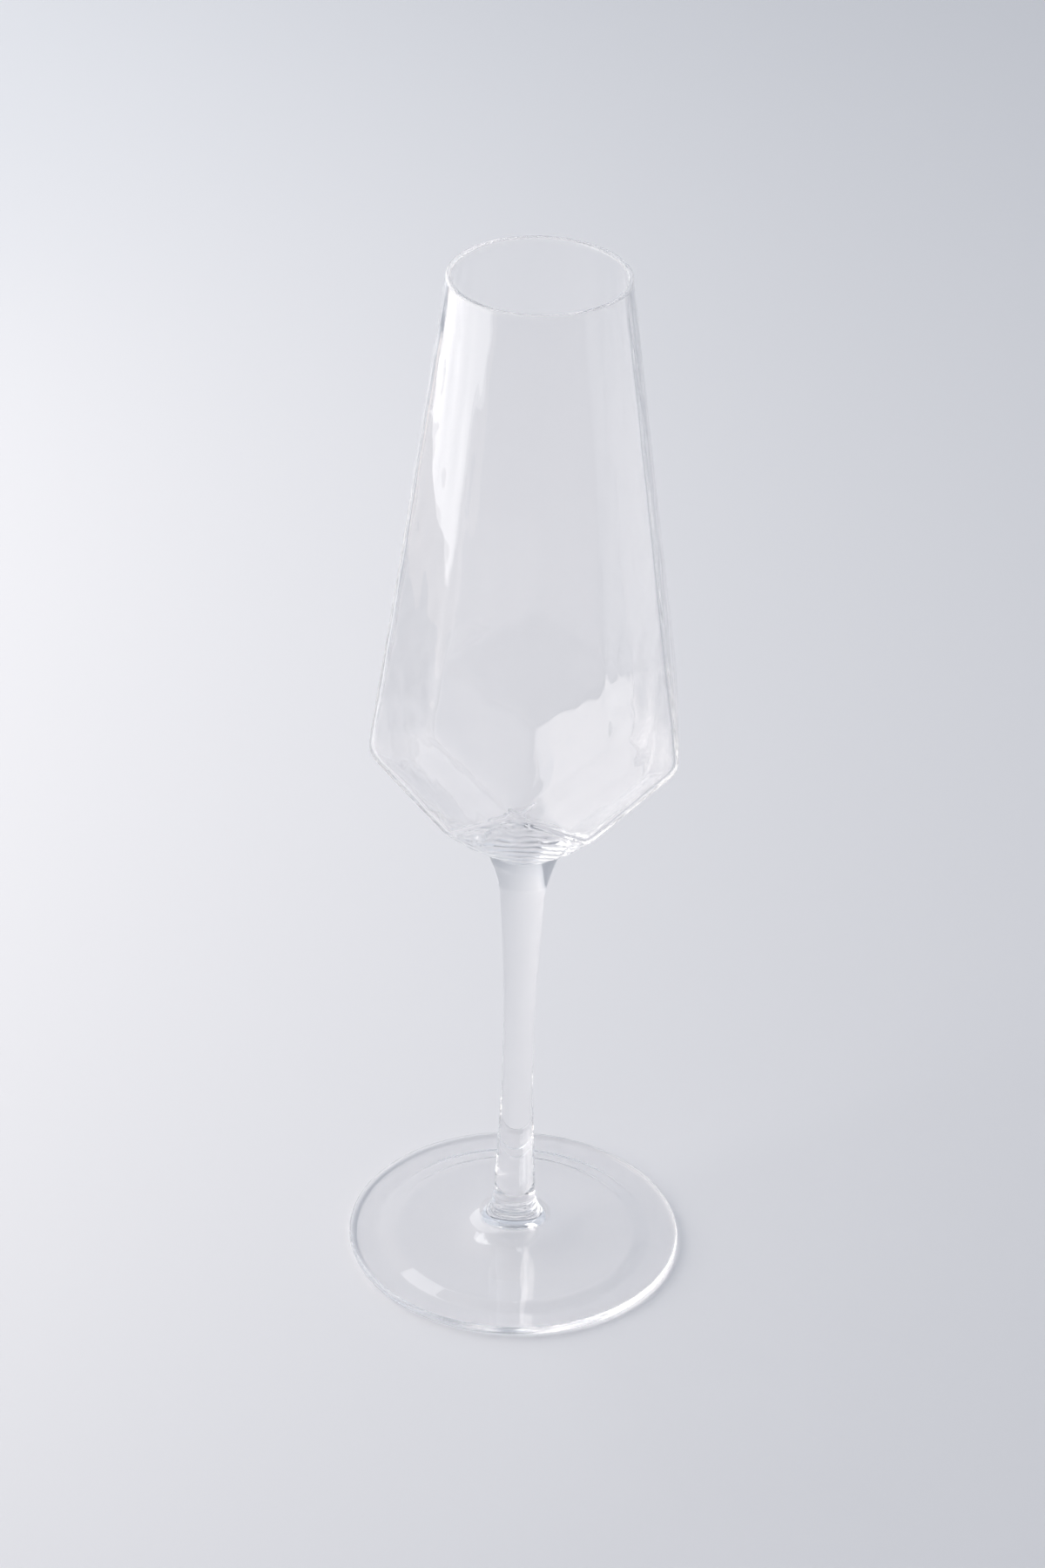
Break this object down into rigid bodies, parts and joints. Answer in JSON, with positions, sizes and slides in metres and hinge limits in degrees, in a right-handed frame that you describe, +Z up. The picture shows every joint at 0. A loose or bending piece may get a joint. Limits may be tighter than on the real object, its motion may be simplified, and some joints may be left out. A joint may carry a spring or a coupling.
{
  "type": "champagne glass",
  "caption": "Clear stemmed champagne glass with a faceted tapering bowl, a round mouth, a slim flared stem and a flat round foot.",
  "frame": {"origin": "middle of the foot's flat resting ring, on the surface that the glass stands on", "axes": "+Z up along the glass's axis, -Y towards one outside corner of the bowl, +X to the right of that"},
  "size_m": [0.0746, 0.0746, 0.24],
  "materials": {
    "bowl_glass": "clear, mould-blown, fire-polished, with a faint watery ripple",
    "stem_glass": "clear, solid, drawn smooth",
    "foot_glass": "clear, spun and fire-polished"
  },
  "bodies": {
    "root": {"bowl": "bowl_glass", "stem": "stem_glass", "foot": "foot_glass"}
  },
  "joints": []
}
